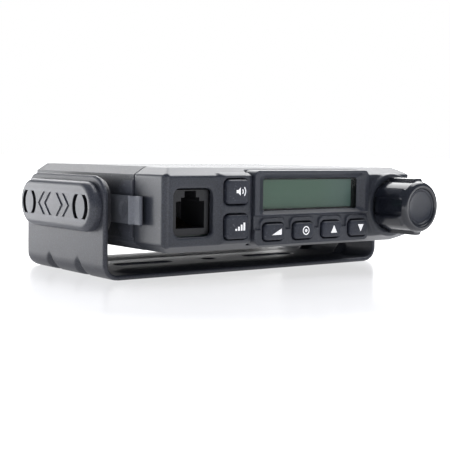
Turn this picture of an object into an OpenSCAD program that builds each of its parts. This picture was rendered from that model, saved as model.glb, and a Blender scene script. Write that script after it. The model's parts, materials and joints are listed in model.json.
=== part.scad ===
// Small mobile transceiver held in a quick-release steel bracket.
// Origin: centre of the bracket's underside. X is the width, the front faces -Y, Z is up.
// All sizes are in millimetres.

/* [Radio body] */
// Width of the radio
body_w = 100; // [98:0.5:101]
// Height of the radio
body_h = 25; // [24.6:0.1:25.4]
// Depth of the radio, from its front face to its rear panel
body_d = 80.5; // [78:0.5:86]
// Gap from the bracket's underside to the radio's underside
body_z = 9.4; // [9:0.1:10]
// Thickness of the covers
cover_t = 1.8; // [1.5:0.1:2]
// Width of the long chamfers along the sides
side_chamfer = 3.9; // [3:0.1:4]
// Height of every chamfer of the body
chamfer_h = 2.4; // [2:0.1:2.6]
// Height of the side wall that belongs to the lower cover
lower_side_h = 0.8; // [0.5:0.1:1]

/* [Front bezel] */
// Y of the flat front face
front_y = -48; // [-49:0.5:-47]
// Depth of the moulded bezel
bezel_d = 17.2; // [16:0.1:18]
// Wall thickness of the bezel
bezel_t = 2; // [1.8:0.1:2.2]
// Depth of the chamfers above and below the front face
front_chamfer = 5.15; // [4.5:0.05:5.5]
// Size of the upright corner chamfers
corner_chamfer = 2.1; // [1.5:0.1:2.5]

/* [Display] */
// Left edge of the raised display frame
module_x = -19.8; // [-20:0.1:-19.6]
// Width of the display frame
module_w = 47.6; // [47:0.1:48]
// Height of the display frame
module_h = 22.66; // [22:0.01:23]
// Height of the display frame's lower edge
module_z = 10.9; // [10.7:0.1:11.1]
// How far the display frame stands out of the front face
module_out = 2.4; // [2:0.1:2.6]
// Width of the clear opening
lens_w = 38.7; // [38:0.1:39]
// Height of the clear opening
lens_h = 9.5; // [9:0.1:9.6]
// Depth of the slope around the opening
lens_slope = 1.5; // [1.2:0.1:1.6]

/* [Keys] */
// Width of a display key's opening
key_w = 8.6; // [8.2:0.1:8.8]
// Height of a display key's opening
key_h = 5.6; // [5.2:0.1:5.8]
// Distance between display keys
key_pitch = 11.8; // [11.6:0.1:11.9]
// Width of a column key's opening
side_key_w = 8.8; // [8.4:0.1:9]
// Height of a column key's opening
side_key_h = 7.8; // [7.4:0.1:8]
// Gap around each key
key_gap = 0.3; // [0.25:0.05:0.4]
// How far each key stands out of its surround
key_out = 1.1; // [1:0.1:1.3]
// Travel of each key
key_travel = 0.8; // [0.5:0.1:0.8]

/* [Microphone socket] */
// X of the socket's centre
jack_x = -40.4; // [-40.6:0.1:-40.2]
// Z of the socket recess's centre
jack_z = 21.4; // [21.2:0.1:21.6]
// Width of the plug opening
jack_open_w = 9.9; // [9.7:0.1:10]
// Height of the plug opening
jack_open_h = 7.8; // [7:0.1:8]
// Depth of the plug opening
jack_open_d = 12; // [11:0.5:12.5]

/* [Volume knob] */
// X of the knob's axis
knob_x = 40.2; // [40:0.1:40.4]
// Z of the knob's axis
knob_z = 21.8; // [21.6:0.1:22]
// Radius over the knob's grip lobes
knob_r = 9.3; // [9:0.1:9.4]
// Height of a grip lobe
lobe_h = 1; // [0.7:0.05:1.1]
// Y of the knob's front ring
knob_front = -62.3; // [-63:0.1:-60]
// Radius of the knob's shaft
shaft_r = 3; // [2.8:0.1:3]

/* [Bracket] */
// Outside width over the arms
bracket_w = 114; // [113:0.5:115]
// Depth of the bracket
bracket_d = 51.3; // [50:0.1:52]
// Height of the arms
bracket_h = 31.4; // [30:0.1:32]
// Thickness of the steel
steel_t = 1.5; // [1.2:0.1:1.5]
// Outside radius of the bends
bend_r = 5; // [4:0.5:6]
// Radius of the arm's upper corners
arm_corner_r = 7; // [5:0.5:8]
// Centre distance of the two fixing slots
slot_pitch = 54; // [52:0.5:56]
// Length of a fixing slot
slot_l = 22; // [18:0.5:24]
// Width of a fixing slot
slot_w = 4.5; // [4.2:0.1:5.2]
// Half width of a stiffening bead in the floor
bead_w = 7.1; // [6:0.1:7.5]
// Height of a stiffening bead
bead_h = 1.14; // [0.8:0.02:1.3]
// Length of a side cap
cap_l = 49; // [46:0.5:50]
// Height of a side cap
cap_h = 15.2; // [14:0.1:16]
// Thickness of a side cap
cap_t = 3.4; // [3.2:0.1:4]

/* [Latch] */
// Thickness of the latch leaf
leaf_t = 0.6; // [0.5:0.05:0.7]
// Height of the latch leaf
leaf_h = 8.4; // [8:0.1:9]
// Gap between the leaf and the radio's side
leaf_gap = 0.9; // [0.8:0.1:1]

/* [Rear sockets] */
// X of the antenna socket
antenna_x = 31; // [28:0.5:32]
// Outside radius of the antenna socket's barrel
antenna_r = 7.94; // [7.9:0.01:8]
// Length of the antenna socket's barrel behind its nut
antenna_l = 6.2; // [6:0.1:10]
// Radius of the antenna socket's centre bore
antenna_bore_r = 2; // [1.98:0.01:2.05]
// X of the loudspeaker socket
speaker_jack_x = 12; // [11:0.5:13]
// Radius of the loudspeaker socket's bore
speaker_jack_r = 1.8; // [1.75:0.05:1.85]
// X of the power lead's inlet
gland_x = -34; // [-36:0.5:-32]
// Radius of the power lead's inlet
gland_bore_r = 2.6; // [2.4:0.1:2.8]

/* [Hidden] */
$fn = 48;
eps = 0.01;
far = 200;

// Radio body
half_w = body_w / 2;
top_z = body_z + body_h;
mid_z = body_z + body_h / 2;
rear_y = front_y + body_d;
seam_y = front_y + bezel_d;
panel_t = 2;
panel_y = rear_y - panel_t;
split_z = body_z + chamfer_h + lower_side_h;
floor_z = body_z + cover_t;
roof_z = top_z - cover_t;

// Latch, guide rail and the groove that it runs in
guide_z = 21.9;
groove_h = 4;
groove_d = 2;
rail_gap = 0.2;
rail_front = -6;
rail_rear = 24;
pad_out = 0.5;
pad_front = seam_y;
pad_rear = -22.7;
pad_bottom = 13.3;
pad_top = 30.3;
pad_corner = 2.4;
leaf_x = half_w + leaf_gap;
leaf_rear = rail_front;
leaf_tip = -37.8;
dimple_y = -27.5;
dimple_r = 2.8;
dimple_d = 1.3;
peg_y = -8;
peg_r = 0.9;
guide_plate_t = 1.5;
guide_plate_front = -24.4;
guide_plate_bottom = 13;
guide_plate_top = 30.4;
guide_x = bracket_w / 2 - steel_t;

// Fasteners
post_x = 42;
post_y = 24;
post_r = 2.6;
post_bore_r = 1.2;
board_post_x = 32;
board_post_y = 21;
board_post_r = 2.5;
board_bore_r = 1;
head_r = 2.3;
head_t = 1.3;
guide_screw_y = 12;
guide_screw_z = 27.6;
guide_screw_r = 1.1;
bezel_screw_x = 30;
rear_screw_x = 43;
rear_screw_z = [16, 29];

// Boards
board_t = 1.6;
main_board_z = floor_z + 2;
main_board_top = main_board_z + board_t;
front_board_y = front_y + 8;
main_board_front = front_board_y + board_t + 0.2;

// Display
frame_front = front_y - module_out;
frame_back = front_y + 3.4;
module_mid = module_x + module_w / 2;
module_top = module_z + module_h;
lens_x = module_mid - 0.1;
lens_z = 26.2;
slope_w = 2.75;
slope_h = 1.5;
window_front = frame_front + lens_slope;
window_t = 1;
seat_border = 0.9;

// Keys
row_z = 15;
row_x0 = -12.7;
key_r = 1.3;
key_front = frame_front - key_out;
column_x = -25.8;
column_out = 1;
column_front = front_y - column_out;
side_key_front = column_front - key_out;
side_key_z = [16.9, 27.25];
flange_t = 0.8;
mat_t = 1.2;
stem_back = front_board_y - mat_t - key_travel - 0.3;
flange_y = front_y + bezel_t + 0.1;
row_flange_y = frame_back + 0.1;

// Microphone socket
recess_w = 13.8;
recess_h = 14;
jack_w = 13;
jack_h = 13.2;
jack_front = front_y + 1.85;
jack_back = jack_front + 14;
jack_floor = jack_z - 4.6;
jack_step_w = 6.4;
jack_step_h = 1.1;
jack_notch_w = 4;
jack_notch_h = 1.9;

// Volume control
collar_r = 10.6;
collar_in = 8.4;
collar_out = 0.9;
pot_r = 7.5;
bushing_r = 4.5;
bushing_bore_r = shaft_r + 0.05;
knob_back = front_y - collar_out - 0.2;
dish_r = 6;
ring_r = knob_r - lobe_h;

// Bracket
arm_x = bracket_w / 2;
dart_y = 9.4;
dart_h = 6;
dart_w = 5.3;
bead_y = 17.5;
bead_end_x = 48;
bead_r = (bead_w * bead_w + bead_h * bead_h) / (2 * bead_h);
cap_z = 22;
crescent_y = 17;

// Loudspeaker
speaker_x = -14;
speaker_y = -8;
speaker_r = 18;

// Rear sockets
antenna_z = mid_z;
antenna_nut_t = 3;
barrel_neck_r = antenna_r - 0.6;
barrel_y = rear_y + antenna_nut_t + 0.3;
jack_row_z = 20.4;

// Extrudes an XZ outline from y0 to y1
module along_y(y0, y1) {
    translate([0, y1, 0]) rotate([90, 0, 0]) linear_extrude(y1 - y0) children();
}

// Extrudes a YZ outline from x0 to x1
module along_x(x0, x1) {
    translate([x0, 0, 0]) rotate([90, 0, 90]) linear_extrude(x1 - x0) children();
}

// A cylinder along Y from y0 to y1
module rod_y(r, y0, y1, x = 0, z = 0) {
    translate([x, y1, z]) rotate([90, 0, 0]) cylinder(r = r, h = y1 - y0);
}

// A cylinder along X from x0 to x1
module rod_x(r, x0, x1, y = 0, z = 0) {
    translate([x0, y, z]) rotate([0, 90, 0]) cylinder(r = r, h = x1 - x0);
}

// A box given by its low and high corners
module block(low, high) {
    translate(low) cube(high - low);
}

// A flat rectangle with round corners, centred on the origin
module rounded_rect(w, h, r) {
    square([w - 2 * r, h], center = true);
    square([w, h - 2 * r], center = true);
    for (sx = [-1, 1], sy = [-1, 1])
        translate([sx * (w / 2 - r), sy * (h / 2 - r)]) circle(r = r);
}

// A rounded plate that faces -Y, centred on x, z
module plate_y(w, h, r, y0, y1, x, z) {
    along_y(y0, y1) translate([x, z]) rounded_rect(w, h, r);
}

// Children on both sides: the left ones as drawn, and their mirror image
module both_sides() {
    children();
    mirror([1, 0, 0]) children();
}

// The eight-sided cross-section of the body, moved inwards by inset
module section(inset = 0) {
    w = half_w - inset;
    low = body_z + inset;
    high = top_z - inset;
    c = side_chamfer;
    polygon([[w, low + chamfer_h], [w, high - chamfer_h], [w - c, high], [c - w, high],
        [-w, high - chamfer_h], [-w, low + chamfer_h], [c - w, low], [w - c, low]]);
}

// Room for the guide rail: open at the back, closed in front by the rail's stop
module rail_groove() {
    both_sides() block([-half_w - 1, rail_front - 0.3, guide_z - groove_h / 2],
        [-half_w + groove_d, far, guide_z + groove_h / 2]);
}

// Raised pad that the latch leaf lies over
module latch_pad() {
    both_sides() along_x(-half_w - pad_out, -half_w + 0.5)
        polygon([[pad_front, pad_bottom], [pad_rear - pad_corner, pad_bottom],
            [pad_rear, pad_bottom + pad_corner], [pad_rear, pad_top - pad_corner],
            [pad_rear - pad_corner, pad_top], [pad_front, pad_top]]);
}

module cover_posts() {
    for (x = [-post_x, post_x], y = [-post_y, post_y])
        translate([x, y, split_z]) cylinder(r = post_r, h = roof_z - split_z + 0.5);
}

module upper_cover() color([0.13, 0.13, 0.15]) difference() {
    union() {
        intersection() {
            difference() {
                along_y(seam_y, panel_y) section();
                along_y(seam_y - 1, panel_y + 1) section(cover_t);
                block([-half_w + cover_t, -far, 0], [half_w - cover_t, far, mid_z]);
            }
            block([-far, -far, split_z], [far, far, far]);
        }
        both_sides() block([-half_w + 1, rail_front - 3, guide_z - groove_h],
            [-half_w + groove_d + 2, panel_y, guide_z + groove_h]);
        for (x = [-rear_screw_x, rear_screw_x], z = rear_screw_z)
            block([x - 3, panel_y - 8, z - 2.6], [x + 3, panel_y, z + 2.6]);
        cover_posts();
        latch_pad();
    }
    rail_groove();
    for (x = [-post_x, post_x], y = [-post_y, post_y])
        translate([x, y, split_z - 1]) cylinder(r = post_bore_r, h = 12);
    for (x = [-rear_screw_x, rear_screw_x], z = rear_screw_z)
        rod_y(post_bore_r, panel_y - 6, panel_y + 1, x, z);
    both_sides() rod_x(dimple_r + 0.3, -half_w - 1, -half_w + dimple_d, dimple_y, guide_z);
}

module grille_slots() {
    for (i = [-3:3]) {
        length = 2 * sqrt(pow(speaker_r - 3, 2) - pow(i * 4, 2)) - 2;
        translate([speaker_x, speaker_y + i * 4, body_z - 1]) linear_extrude(cover_t + 2)
            rounded_rect(length, 1.6, 0.79);
    }
}

module lower_cover() color([0.12, 0.12, 0.14]) difference() {
    union() {
        intersection() {
            difference() {
                along_y(seam_y, panel_y) section();
                along_y(seam_y - 1, panel_y + 1) section(cover_t);
            }
            block([-far, -far, 0], [far, far, split_z]);
        }
        both_sides() block([-half_w + cover_t, seam_y + 1, floor_z + chamfer_h - 1],
            [-half_w + cover_t + 1.2, panel_y - 9, split_z + 1.6]);
        for (x = [-board_post_x, board_post_x], y = [-board_post_y, board_post_y])
            translate([x, y, floor_z - 0.5])
                cylinder(r = board_post_r, h = main_board_z - floor_z + 0.5);
        for (x = [-bezel_screw_x, bezel_screw_x]) {
            block([x - 5, seam_y - 5, body_z + bezel_t], [x + 5, seam_y + 3, floor_z + 1.8]);
            block([x - 5, seam_y, floor_z - 0.5], [x + 5, seam_y + 3, floor_z + 1]);
        }
    }
    for (x = [-post_x, post_x], y = [-post_y, post_y])
        translate([x, y, body_z - 1]) cylinder(r = post_bore_r + 0.2, h = 9);
    for (x = [-post_x, post_x], y = [-post_y, post_y])
        translate([x, y, body_z - 1]) cylinder(r = head_r + 0.2, h = 1 + head_t + 0.1);
    for (x = [-post_x, post_x], y = [-post_y, post_y])
        translate([x, y, split_z - 0.01]) cylinder(r = post_r + 0.2, h = 5);
    for (x = [-board_post_x, board_post_x], y = [-board_post_y, board_post_y])
        translate([x, y, floor_z - 0.5]) cylinder(r = board_bore_r, h = 5);
    for (x = [-bezel_screw_x, bezel_screw_x])
        translate([x, seam_y - 2.5, floor_z - 0.5]) cylinder(r = board_bore_r, h = 5);
    grille_slots();
}

module rear_panel() color([0.14, 0.14, 0.16]) difference() {
    union() {
        along_y(panel_y, rear_y) section();
        for (i = [0:7])
            block([-22 + 3.2 * i, panel_y, body_z + 3], [-20.8 + 3.2 * i, rear_y + 4, top_z - 3]);
        block([-22, rear_y - 0.5, body_z + 3], [1.6, rear_y + 1, top_z - 3]);
    }
    rail_groove();
    rod_y(barrel_neck_r + 0.05, panel_y - 1, rear_y + 1, antenna_x, antenna_z);
    rod_y(3.05, panel_y - 1, rear_y + 1, speaker_jack_x, jack_row_z);
    rod_y(4.05, panel_y - 1, rear_y + 1, gland_x, jack_row_z);
    for (x = [-rear_screw_x, rear_screw_x], z = rear_screw_z) {
        rod_y(post_bore_r + 0.2, panel_y - 1, rear_y + 1, x, z);
        rod_y(head_r + 0.1, rear_y - 0.8, rear_y + 1, x, z);
    }
}

// Side outline of the bezel, with its slopes above and below the front face
module bezel_side() {
    polygon([[front_y, body_z + chamfer_h], [front_y + front_chamfer, body_z], [seam_y, body_z],
        [seam_y, top_z], [front_y + front_chamfer, top_z], [front_y, top_z - chamfer_h]]);
}

// Plan outline of the bezel, with its upright corners cut
module bezel_plan() {
    polygon([[-half_w, seam_y], [-half_w, front_y + corner_chamfer],
        [-half_w + corner_chamfer, front_y], [half_w - corner_chamfer, front_y],
        [half_w, front_y + corner_chamfer], [half_w, seam_y]]);
}

// Raised surround of the two column keys: it follows the slope above the front face
module key_column() intersection() {
    along_x(-32, module_x + 0.5)
        polygon([[front_y + 1, body_z + 2.2], [front_y, body_z + 2.2],
            [column_front, body_z + 3.2], [column_front, top_z - chamfer_h],
            [column_front + front_chamfer, top_z], [front_y + front_chamfer + 1, top_z],
            [front_y + front_chamfer + 1, top_z - 1], [front_y + 1, top_z - chamfer_h - 1]]);
    translate([0, 0, body_z]) linear_extrude(body_h)
        polygon([[-31.6, front_y + 1], [-31.6, front_y], [-30.1, column_front],
            [module_x + 0.5, column_front], [module_x + 0.5, front_y + 1]]);
}

module front_bezel() color([0.15, 0.15, 0.17]) difference() {
    union() {
        difference() {
            intersection() {
                along_y(front_y, seam_y) section();
                along_x(-half_w, half_w) bezel_side();
                translate([0, 0, body_z]) linear_extrude(body_h) bezel_plan();
            }
            along_y(front_y + bezel_t, seam_y + 1) section(bezel_t);
        }
        intersection() {
            along_y(front_y, front_y + front_chamfer) section();
            along_x(-half_w, half_w) difference() {
                bezel_side();
                translate([front_y + bezel_t, 0]) square([far, mid_z]);
                translate([front_y + bezel_t, mid_z]) square([far, 9.8]);
            }
            block([-half_w + 1, -far, 0], [half_w - 1, far, far]);
        }
        key_column();
        intersection() {
            rod_y(collar_r, front_y - collar_out, front_y + bezel_t, knob_x, knob_z);
            along_y(front_y - 2, front_y + 3) section(0.2);
        }
    }
    block([module_x, -far, module_z], [module_x + module_w, frame_back, module_top]);
    block([lens_x - lens_w / 2 - 1.2, -far, row_z - key_h / 2 - 0.6],
        [module_x + module_w - 0.7, front_board_y, module_top - 1.4]);
    plate_y(recess_w, recess_h, 2.2, front_y - 1, jack_front, jack_x, jack_z);
    plate_y(jack_w + 0.2, jack_h + 0.2, 0.2, jack_front - 0.5, jack_back, jack_x, jack_z);
    for (z = side_key_z)
        plate_y(side_key_w, side_key_h, 1.6, column_front - 1, flange_y + 3, column_x, z);
    rod_y(collar_in, front_y - 3, front_y + 0.6, knob_x, knob_z);
    rod_y(bushing_r + 0.05, front_y - 3, front_y + 5, knob_x, knob_z);
    for (x = [-bezel_screw_x, bezel_screw_x]) {
        translate([x, seam_y - 2.5, body_z - 1]) cylinder(r = board_bore_r + 0.2, h = 9);
        translate([x, seam_y - 2.5, body_z - 1]) cylinder(r = head_r - 0.4, h = 1.9);
    }
}

// Shallow channel between the display and its keys, which leaves a hood around each key
module hood_channel() difference() {
    block([-far, frame_front - 1, row_z + 0.6], [far, frame_front + 0.7, lens_z - lens_h / 2 - slope_h]);
    for (i = [0:3])
        plate_y(key_w + 1.4, key_h + 2, 1.8, frame_front - 2, frame_back, row_x0 + i * key_pitch,
            row_z + 0.3);
}

module display_frame() color([0.14, 0.14, 0.16]) difference() {
    plate_y(module_w, module_h, 2, frame_front, frame_back, module_mid, module_z + module_h / 2);
    hood_channel();
    hull() {
        plate_y(lens_w, lens_h, 0.6, window_front, window_front + eps, lens_x, lens_z);
        plate_y(lens_w + 2 * slope_w, lens_h + 2 * slope_h, 1.6, frame_front - eps,
            frame_front, lens_x, lens_z);
    }
    plate_y(lens_w, lens_h, 0.6, frame_front - 1, frame_back + 1, lens_x, lens_z);
    plate_y(lens_w + 2 * seat_border, lens_h + 2 * seat_border, 0.8, window_front,
        frame_back + 1, lens_x, lens_z);
    for (i = [0:3])
        plate_y(key_w, key_h, 1.5, frame_front - 1, frame_back + 1, row_x0 + i * key_pitch, row_z);
}

module display_window() color([0.3, 0.4, 0.35, 0.4])
    plate_y(lens_w + 2 * seat_border - 0.2, lens_h + 2 * seat_border - 0.2, 0.8, window_front,
        window_front + window_t, lens_x, lens_z);

module lcd_holder() color([0.08, 0.08, 0.08]) difference() {
    plate_y(lens_w + 1.6, lens_h + 1.6, 0.6, window_front + window_t, front_board_y, lens_x,
        lens_z);
    plate_y(lens_w - 0.6, lens_h - 0.6, 0.3, window_front, front_board_y + 1, lens_x, lens_z);
}

module lcd_panel() color([0.4, 0.5, 0.42])
    plate_y(lens_w - 0.6, lens_h - 0.6, 0.3, window_front + 2, window_front + 3.6, lens_x, lens_z);

module backlight_panel() color([0.85, 0.88, 0.85])
    plate_y(lens_w - 0.6, lens_h - 0.6, 0.3, window_front + 3.6, window_front + 6, lens_x, lens_z);

// A key: cap through the panel, flange behind it, stem towards the mat
module key(x, z, w, h, front, flange) color([0.13, 0.14, 0.18]) {
    cap_w = w - 2 * key_gap;
    cap_height = h - 2 * key_gap;
    plate_y(cap_w, cap_height, key_r, front + 0.4, flange + flange_t, x, z);
    plate_y(cap_w - 0.7, cap_height - 0.7, key_r - 0.3, front, front + 0.5, x, z);
    plate_y(cap_w + 1.2, cap_height + 1.2, key_r, flange, flange + flange_t, x, z);
    rod_y(1.6, flange + flange_t / 2, stem_back, x, z);
}

module row_key(i) key(row_x0 + i * key_pitch, row_z, key_w, key_h, key_front, row_flange_y);
module upper_key() key(column_x, side_key_z[1], side_key_w, side_key_h, side_key_front, flange_y);
module lower_key() key(column_x, side_key_z[0], side_key_w, side_key_h, side_key_front, flange_y);

module key_mat() color([0.5, 0.5, 0.5]) {
    block([-31, front_board_y - mat_t, 12.4], [27.4, front_board_y, 18.4]);
    block([-31, front_board_y - mat_t, 18.3], [-20.6, front_board_y, 31.2]);
}

module front_board() color([0.1, 0.35, 0.2])
    block([-32, front_board_y, 12], [44.8, front_board_y + board_t, 31.6]);

module main_board() color([0.1, 0.38, 0.22]) difference() {
    union() {
        block([-46.4, main_board_front, main_board_z], [46.4, panel_y - 1, main_board_top]);
        block([jack_x - 6.4, front_y + bezel_t + 0.3, main_board_z],
            [jack_x + 6.4, main_board_front + 1, main_board_top]);
    }
    for (x = [-post_x, post_x], y = [-post_y, post_y])
        translate([x, y, main_board_z - 1]) cylinder(r = post_r + 0.4, h = 4);
    for (x = [-board_post_x, board_post_x], y = [-board_post_y, board_post_y])
        translate([x, y, main_board_z - 1]) cylinder(r = board_bore_r + 0.2, h = 4);
    for (x = [-rear_screw_x, rear_screw_x])
        block([x - 3.4, panel_y - 8.4, main_board_z - 1], [x + 3.4, panel_y, main_board_top + 1]);
    translate([speaker_x, speaker_y, main_board_z - 1]) cylinder(r = speaker_r + 0.6, h = 4);
}

module board_connector() color([0.1, 0.1, 0.1])
    block([10, front_board_y + board_t, main_board_top], [34, front_board_y + board_t + 5,
        main_board_top + 4]);

module shield_can() color([0.75, 0.76, 0.78]) difference() {
    block([8, -26, main_board_top], [38, -2, main_board_top + 7]);
    block([8.4, -25.6, main_board_top - 1], [37.6, -2.4, main_board_top + 6.6]);
}

module filter_cans() color([0.8, 0.8, 0.82])
    for (i = [0:3])
        block([9 + 8 * i, 1, main_board_top], [15 + 8 * i, 7, main_board_top + 9]);

module capacitors() color([0.2, 0.22, 0.35])
    for (i = [0:2])
        translate([-40, -14 + 10 * i, main_board_top]) cylinder(r = 4, h = 12);

module power_transistors() color([0.12, 0.12, 0.12])
    for (x = [-12, 2]) {
        block([x - 5, panel_y - 7, main_board_top + 3], [x + 5, panel_y - 3, main_board_top + 16]);
        for (k = [-1:1])
            block([x + 2.5 * k - 0.4, panel_y - 5.4, main_board_top],
                [x + 2.5 * k + 0.4, panel_y - 4.8, main_board_top + 3.5]);
    }

module heat_spreader() color([0.7, 0.7, 0.72])
    block([-20, panel_y - 3, main_board_top + 1], [5, panel_y, main_board_top + 16]);

module speaker_basket() color([0.3, 0.3, 0.32]) translate([speaker_x, speaker_y, floor_z])
    rotate_extrude() polygon([[speaker_r, 0], [speaker_r, 1.2], [speaker_r - 2, 2],
        [9, 7.4], [9, 8.4], [6, 8.4], [6, 7.4], [8, 6.6], [speaker_r - 3.4, 1.2],
        [speaker_r - 3.4, 0]]);

module speaker_cone() color([0.1, 0.1, 0.1]) translate([speaker_x, speaker_y, floor_z])
    rotate_extrude() polygon([[speaker_r - 3.5, 0.4], [speaker_r - 3.5, 1.1], [6, 5.4], [0, 4.4],
        [0, 3.8], [6, 4.8]]);

module speaker_magnet() color([0.35, 0.35, 0.37])
    translate([speaker_x, speaker_y, floor_z + 8.4]) cylinder(r = 10, h = 5);

// Front outline of the plug opening: contacts below, latch notch above
module plug_outline() {
    w = jack_open_w / 2;
    s = jack_step_w / 2;
    n = jack_notch_w / 2;
    h = jack_open_h;
    polygon([[-w, 0], [w, 0], [w, h], [s, h], [s, h + jack_step_h], [n, h + jack_step_h],
        [n, h + jack_step_h + jack_notch_h], [-n, h + jack_step_h + jack_notch_h],
        [-n, h + jack_step_h], [-s, h + jack_step_h], [-s, h], [-w, h]]);
}

module mic_jack() color([0.1, 0.1, 0.11]) difference() {
    plate_y(jack_w, jack_h, 0.3, jack_front, jack_back, jack_x, jack_z);
    along_y(jack_front - 1, jack_front + jack_open_d) translate([jack_x, jack_floor])
        plug_outline();
}

module mic_jack_contacts() color([0.85, 0.7, 0.3])
    for (i = [-2.5:2.5])
        translate([jack_x + i * 1.02 - 0.2, 0, 0]) along_x(0, 0.4)
            polygon([[jack_front + 2.5, jack_floor], [jack_front + 10.5, jack_floor + 2.6],
                [jack_front + 10.8, jack_floor + 2.2], [jack_front + 3.4, jack_floor]]);

module volume_pot() color([0.45, 0.45, 0.47]) difference() {
    union() {
        rod_y(pot_r, front_y + bezel_t, front_board_y, knob_x, knob_z);
        rod_y(bushing_r, front_y - 2.8, front_y + bezel_t + 1, knob_x, knob_z);
    }
    rod_y(bushing_bore_r, front_y - 4, front_board_y - 1.5, knob_x, knob_z);
}

module pot_nut() color([0.75, 0.75, 0.77]) difference() {
    rod_y_hex(6.2, front_y - 1.4, front_y + 0.6);
    rod_y(bushing_r, front_y - 3, front_y + 2, knob_x, knob_z);
}

// A hexagonal nut around the volume control's bushing
module rod_y_hex(r, y0, y1) {
    translate([knob_x, y1, knob_z]) rotate([90, 0, 0]) cylinder(r = r, h = y1 - y0, $fn = 6);
}

module pot_shaft() color([0.8, 0.8, 0.82])
    rod_y(shaft_r, knob_front + 3, front_board_y - 1.7, knob_x, knob_z);

module volume_knob() color([0.08, 0.08, 0.1]) translate([knob_x, 0, knob_z]) difference() {
    union() {
        translate([0, knob_back, 0]) rotate([90, 0, 0])
            cylinder(r1 = ring_r + 0.1, r2 = ring_r, h = knob_back - knob_front - 1.6);
        translate([0, knob_front + 1.6, 0]) rotate([90, 0, 0])
            cylinder(r1 = ring_r, r2 = ring_r - 0.7, h = 1.6);
        for (a = [0:60:300]) rotate([0, a, 0]) intersection() {
            translate([0, knob_back, 0]) rotate([90, 0, 0])
                cylinder(r = knob_r, h = knob_back - knob_front - 1.6);
            translate([0, knob_back, 0]) rotate([90, 0, 0]) linear_extrude(far)
                polygon([[-1.6, ring_r - 1], [-2.2, knob_r + 1], [2.2, knob_r + 1],
                    [1.6, ring_r - 1]]);
        }
    }
    translate([0, knob_front - 1, 0]) rotate([-90, 0, 0]) cylinder(r = dish_r, h = 1 + 1.6);
    rod_y(shaft_r, knob_front + 3, 0);
    rod_y(ring_r - 1.3, knob_back - 3.2, 0);
}

module knob_insert() color([0.2, 0.2, 0.22]) translate([knob_x, knob_front + 1.6, knob_z])
    rotate([90, 0, 0]) rotate_extrude(convexity = 4)
        polygon([[0, 0], [dish_r, 0], [dish_r, 1.3], [dish_r - 0.5, 1.3], [dish_r - 0.9, 0.9],
            [dish_r - 2.5, 0.65], [0, 0.45]]);

module antenna_socket() color([0.8, 0.8, 0.8]) difference() {
    union() {
        rod_y(antenna_r, barrel_y, barrel_y + antenna_l, antenna_x, antenna_z);
        rod_y(barrel_neck_r, panel_y - 1, barrel_y + 0.5, antenna_x, antenna_z);
        rod_y(9.5, panel_y - 1, panel_y, antenna_x, antenna_z);
    }
    rod_y(6, rear_y - 1, far, antenna_x, antenna_z);
    rod_y(4, panel_y - 7, rear_y, antenna_x, antenna_z);
}

module antenna_nut() color([0.75, 0.75, 0.75]) difference() {
    translate([antenna_x, rear_y + antenna_nut_t, antenna_z]) rotate([90, 0, 0])
        cylinder(r = 10.6, h = antenna_nut_t, $fn = 6);
    rod_y(barrel_neck_r + 0.02, rear_y - 1, rear_y + antenna_nut_t + 1, antenna_x, antenna_z);
}

module antenna_insulator() color([0.92, 0.92, 0.88]) difference() {
    union() {
        rod_y(6, rear_y - 1, rear_y + 7, antenna_x, antenna_z);
        rod_y(4, panel_y - 6, rear_y, antenna_x, antenna_z);
    }
    rod_y(2.6, panel_y - 7, far, antenna_x, antenna_z);
}

module antenna_contact() color([0.9, 0.75, 0.4]) difference() {
    rod_y(2.6, panel_y - 9, rear_y + 7.5, antenna_x, antenna_z);
    rod_y(antenna_bore_r, rear_y - 2, far, antenna_x, antenna_z);
}

module speaker_jack() color([0.15, 0.15, 0.15]) difference() {
    union() {
        rod_y(3, panel_y - 1, rear_y + 1.5, speaker_jack_x, jack_row_z);
        rod_y(4.4, rear_y, rear_y + 1.2, speaker_jack_x, jack_row_z);
        block([speaker_jack_x - 4, panel_y - 12, main_board_top],
            [speaker_jack_x + 4, panel_y - 0.1, jack_row_z + 4]);
    }
    rod_y(speaker_jack_r, panel_y - 10, far, speaker_jack_x, jack_row_z);
}

module power_gland() color([0.07, 0.07, 0.07]) difference() {
    union() {
        rod_y(4, panel_y - 3, rear_y + 6, gland_x, jack_row_z);
        rod_y(5.4, rear_y, rear_y + 1.6, gland_x, jack_row_z);
        rod_y(5.4, panel_y - 3, panel_y, gland_x, jack_row_z);
    }
    rod_y(gland_bore_r, panel_y - 4, far, gland_x, jack_row_z);
}

// A screw along +Z with its head at the bottom
module screw_up(r, length, head, head_h) {
    cylinder(r = head, h = head_h);
    cylinder(r = r, h = length);
}

module cover_screws() color([0.2, 0.2, 0.2])
    for (x = [-post_x, post_x], y = [-post_y, post_y])
        translate([x, y, body_z + 0.1]) screw_up(post_bore_r, 12, head_r, head_t);

module bezel_screws() color([0.2, 0.2, 0.2])
    for (x = [-bezel_screw_x, bezel_screw_x])
        translate([x, seam_y - 2.5, body_z + 0.1]) screw_up(board_bore_r, 3.4, head_r - 0.5, 0.8);

module board_screws() color([0.8, 0.8, 0.8])
    for (x = [-board_post_x, board_post_x], y = [-board_post_y, board_post_y])
        translate([x, y, main_board_top + head_t]) mirror([0, 0, 1])
            screw_up(board_bore_r, head_t + board_t + 1.8, head_r, head_t);

module rear_screws() color([0.2, 0.2, 0.2])
    for (x = [-rear_screw_x, rear_screw_x], z = rear_screw_z)
        translate([x, rear_y, z]) rotate([90, 0, 0])
            screw_up(post_bore_r, 7, head_r, 0.8);

// U outline of the bracket in the XZ plane, moved inwards by inset
module u_outline(inset) {
    w = arm_x - inset;
    r = bend_r - inset;
    translate([-w, inset + r]) square([2 * w, far]);
    translate([-w + r, inset]) square([2 * (w - r), far]);
    for (s = [-1, 1]) translate([s * (w - r), inset + r]) circle(r = r);
}

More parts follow.
